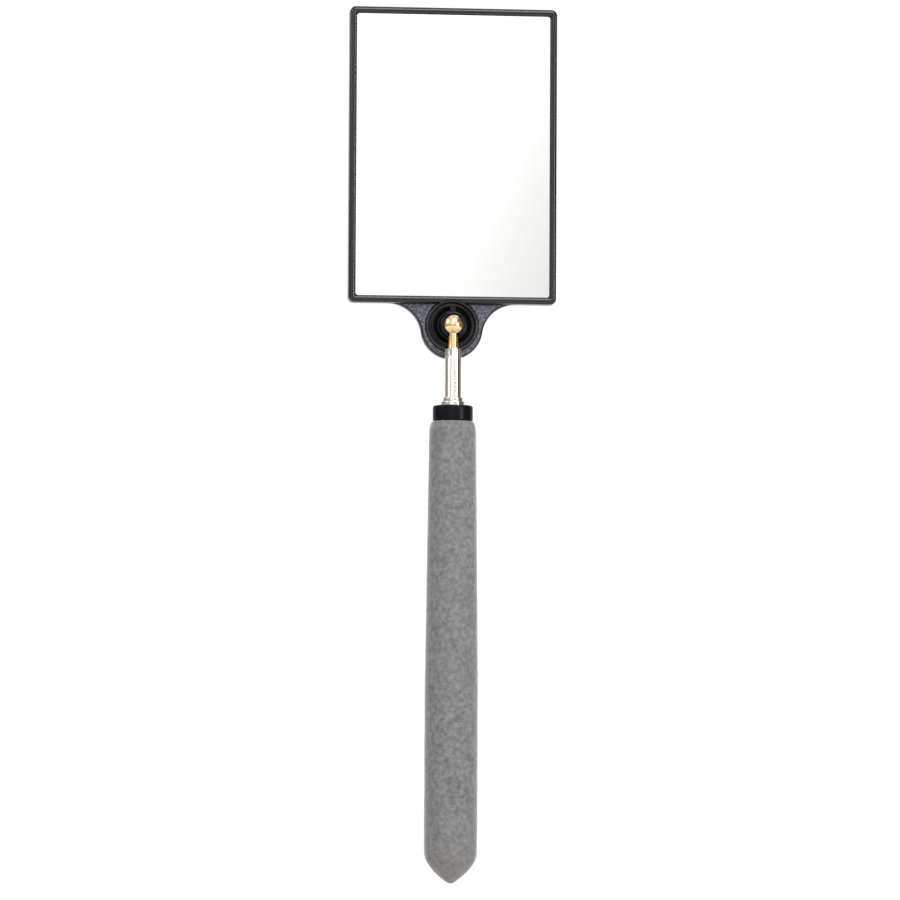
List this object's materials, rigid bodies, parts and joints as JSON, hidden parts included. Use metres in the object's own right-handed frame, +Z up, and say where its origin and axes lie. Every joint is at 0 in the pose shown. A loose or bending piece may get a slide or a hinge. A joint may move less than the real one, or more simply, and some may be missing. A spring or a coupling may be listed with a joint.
{
  "type": "telescoping inspection mirror",
  "caption": "Hand-held inspection mirror: a framed rectangular mirror on a ball joint and swivel, carried by a telescoping tube in a cushion grip.",
  "frame": {"origin": "on the stem's axis, halfway up the cushion grip", "axes": "+Z up the stem towards the mirror, -Y the way the mirror's face looks with the tool closed, +X across the mirror to its right"},
  "size_m": [0.0646, 0.0164, 0.2708],
  "materials": {
    "foam_vinyl": "soft matte grey foam vinyl with a fine skin",
    "black_nylon": "satin black moulded nylon",
    "black_abs": "black moulded plastic, polished rim and grained tab",
    "gloss_black": "polished black moulded plastic",
    "natural_acetal": "off-white acetal",
    "aluminium": "drawn tube",
    "nickel_plate": "bright nickel plate on brass tube",
    "brass": "turned and polished",
    "spring_steel": "plain spring steel",
    "silvered_glass": "back-silvered glass with ground edges",
    "foam_tape": "double-sided foam tape"
  },
  "bodies": {
    "handle": {"cushion_grip": "foam_vinyl", "handle_tube": "aluminium", "front_collar": "black_nylon", "rear_plug": "black_nylon", "base_tube": "nickel_plate"},
    "middle_shims": {"middle_shim_front": "brass", "middle_shim_rear": "brass"},
    "middle_tube": {"middle_tube": "nickel_plate"},
    "inner_shims": {"inner_shim_front": "brass", "inner_shim_rear": "brass"},
    "inner_tube": {"inner_tube": "nickel_plate", "ball_stud": "brass"},
    "turret": {"socket_turret": "gloss_black", "ball_pad": "natural_acetal", "pad_spring": "spring_steel", "tension_screw": "spring_steel", "retaining_ring": "spring_steel", "wave_washer": "spring_steel", "flat_washer": "spring_steel"},
    "mirror": {"mirror_frame": "black_abs", "mirror_glass": "silvered_glass", "adhesive_pad": "foam_tape"}
  },
  "joints": [
    {"name": "middle_slide", "type": "slide", "parent": "handle", "child": "middle_shims", "axis": [0, 0, 1], "range_m": [0, 0.115]},
    {"name": "middle_spin", "type": "hinge", "parent": "middle_shims", "child": "middle_tube", "pos_m": [0, 0, 0], "axis": [0, 0, 1], "continuous": true},
    {"name": "inner_slide", "type": "slide", "parent": "middle_tube", "child": "inner_shims", "axis": [0, 0, 1], "range_m": [0, 0.102]},
    {"name": "inner_spin", "type": "hinge", "parent": "inner_shims", "child": "inner_tube", "pos_m": [0, 0, 0], "axis": [0, 0, 1], "continuous": true},
    {"name": "ball_tilt", "type": "hinge", "parent": "inner_tube", "child": "turret", "pos_m": [0, 0, 0.101], "axis": [1, 0, 0], "range_deg": [0, 120]},
    {"name": "turret_swivel", "type": "hinge", "parent": "turret", "child": "mirror", "pos_m": [0, 0, 0.101], "axis": [0, -1, 0], "range_deg": [-85, 85]}
  ]
}
